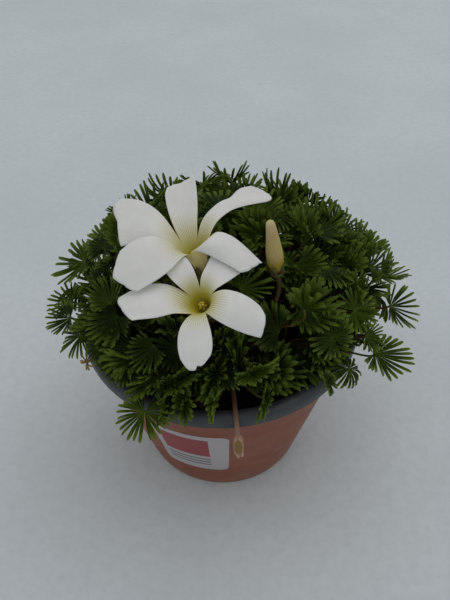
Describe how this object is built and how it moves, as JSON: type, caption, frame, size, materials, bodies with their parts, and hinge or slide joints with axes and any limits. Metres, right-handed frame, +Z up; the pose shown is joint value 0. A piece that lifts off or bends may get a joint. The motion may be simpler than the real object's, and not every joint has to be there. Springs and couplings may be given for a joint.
{
  "type": "potted oxalis plant",
  "caption": "Potted oxalis: a low mound of fan-shaped leaves with white funnel flowers and a bud, growing in soil in a round tapered plastic nursery pot.",
  "frame": {"origin": "centre of the pot's underside, on the surface that it stands on", "axes": "+Z up along the pot's axis, -Y towards the side that the flowers lean to, +X to the right"},
  "size_m": [0.1395, 0.1229, 0.1329],
  "materials": {
    "pot_plastic": "satin",
    "soil": "matte",
    "leaf": "satin",
    "petal": "matte",
    "stamen": "matte",
    "flower_stalk": "satin",
    "bud": "matte",
    "withered": "matte"
  },
  "bodies": {
    "root": {"bud_petals": "bud", "bud_stalk": "flower_stalk", "flower_lower_calyx_stalk": "flower_stalk", "flower_lower_petals": "petal", "flower_lower_stamens": "stamen", "flower_upper_calyx_stalk": "flower_stalk", "flower_upper_petals": "petal", "flower_upper_stamens": "stamen", "leaf_tuft_01": "leaf", "leaf_tuft_02": "leaf", "leaf_tuft_03": "leaf", "leaf_tuft_04": "leaf", "leaf_tuft_05": "leaf", "leaf_tuft_06": "leaf", "leaf_tuft_07": "leaf", "leaf_tuft_08": "leaf", "leaf_tuft_09": "leaf", "leaf_tuft_10": "leaf", "leaf_tuft_11": "leaf", "leaf_tuft_12": "leaf", "leaf_tuft_13": "leaf", "leaf_tuft_14": "leaf", "leaf_tuft_15": "leaf", "leaf_tuft_16": "leaf", "leaf_tuft_17": "leaf", "leaf_tuft_18": "leaf", "leaf_tuft_19": "leaf", "leaf_tuft_20": "leaf", "leaf_tuft_21": "leaf", "pot": "pot_plastic", "potting_soil": "soil", "spent_flower": "withered", "withered_leaf_left": "withered", "withered_leaf_right": "withered"}
  },
  "joints": []
}
